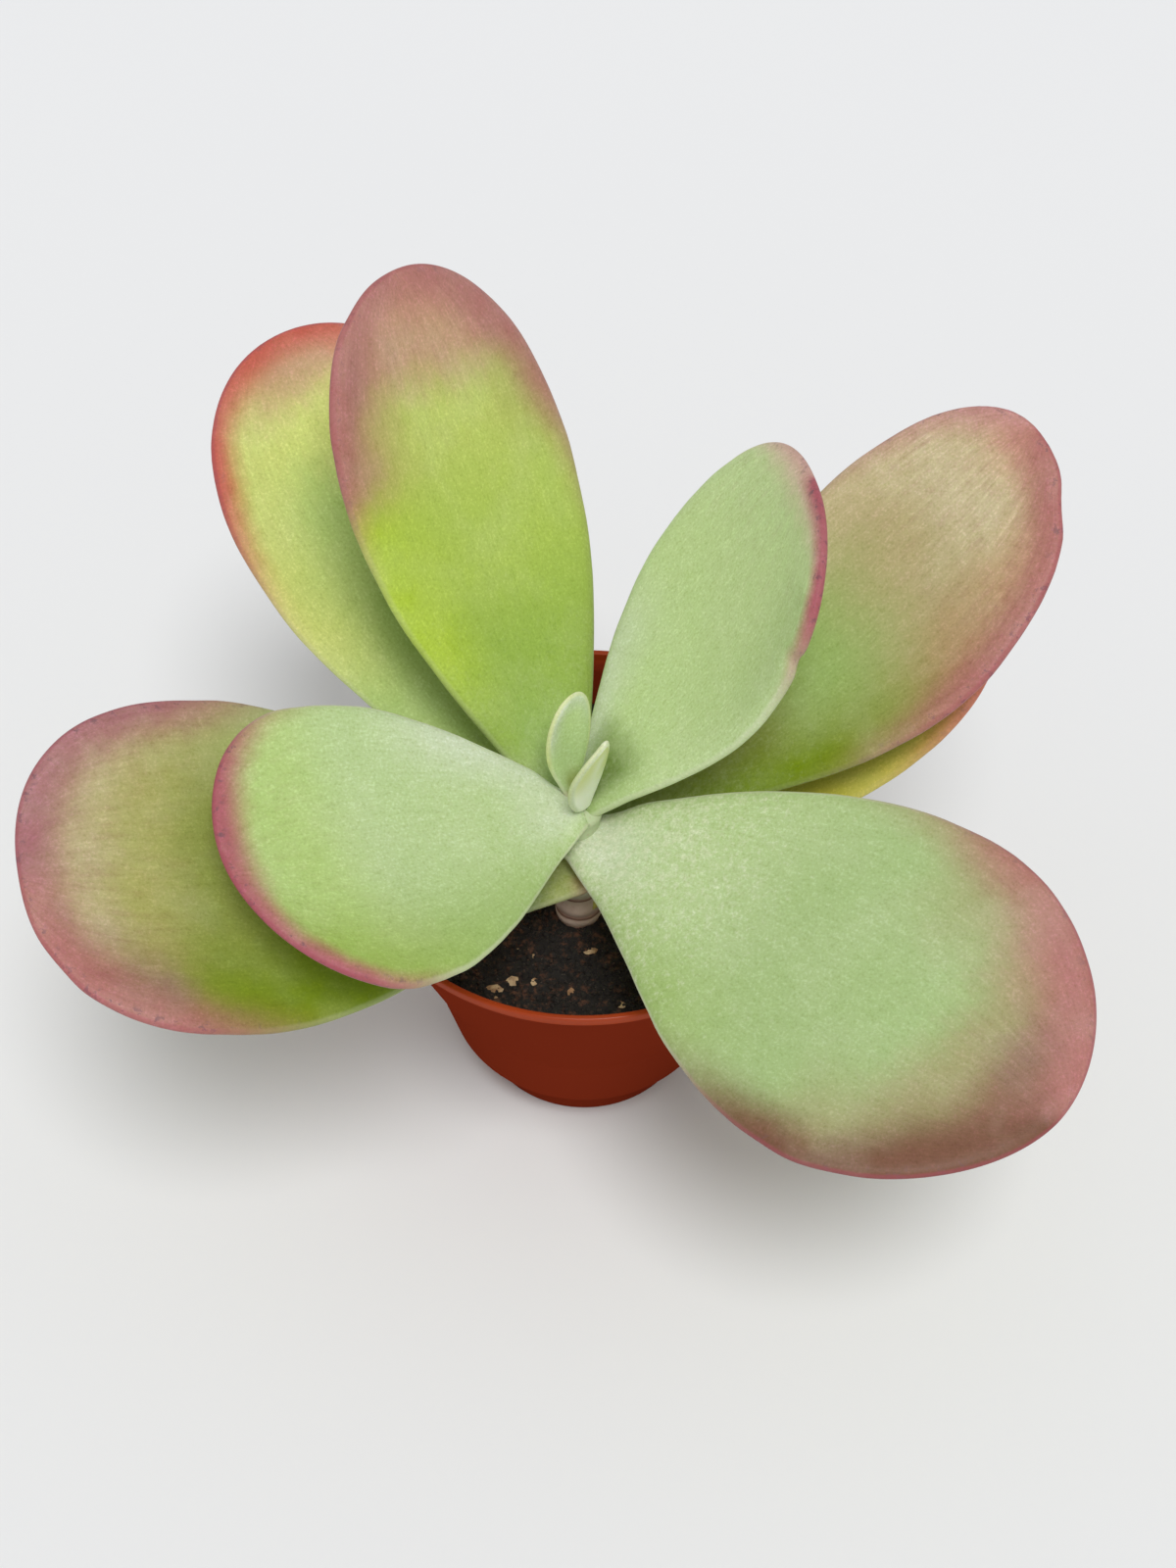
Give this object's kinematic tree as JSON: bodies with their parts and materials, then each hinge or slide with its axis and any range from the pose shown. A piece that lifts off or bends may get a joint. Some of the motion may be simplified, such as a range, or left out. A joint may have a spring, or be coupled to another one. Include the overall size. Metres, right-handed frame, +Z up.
{
  "type": "potted paddle plant",
  "caption": "Succulent with broad flat paddle leaves in opposite pairs round a short stem, red at the margins, in a low flared nursery pot filled with dark soil.",
  "frame": {"origin": "centre of the pot's foot, on the surface it stands on", "axes": "+Z up; +Y away from the viewer and +X to the viewer's right in the usual view"},
  "size_m": [0.2342, 0.206, 0.2099],
  "materials": {
    "pot": "satin",
    "soil": "matte",
    "stem": "matte",
    "leaf_front_left": "satin",
    "leaf_back_right": "satin",
    "leaf_back_tall": "satin",
    "leaf_front_right": "satin",
    "leaf_left": "satin",
    "leaf_right": "satin",
    "leaf_back_left": "satin",
    "leaf_low_right": "satin",
    "leaf_young_back": "satin",
    "leaf_young_front": "satin"
  },
  "bodies": {
    "root": {"pot": "pot", "soil": "soil", "stem": "stem", "leaf_front_left": "leaf_front_left", "leaf_back_right": "leaf_back_right", "leaf_back_tall": "leaf_back_tall", "leaf_front_right": "leaf_front_right", "leaf_left": "leaf_left", "leaf_right": "leaf_right", "leaf_back_left": "leaf_back_left", "leaf_low_right": "leaf_low_right", "leaf_young_back": "leaf_young_back", "leaf_young_front": "leaf_young_front"}
  },
  "joints": []
}
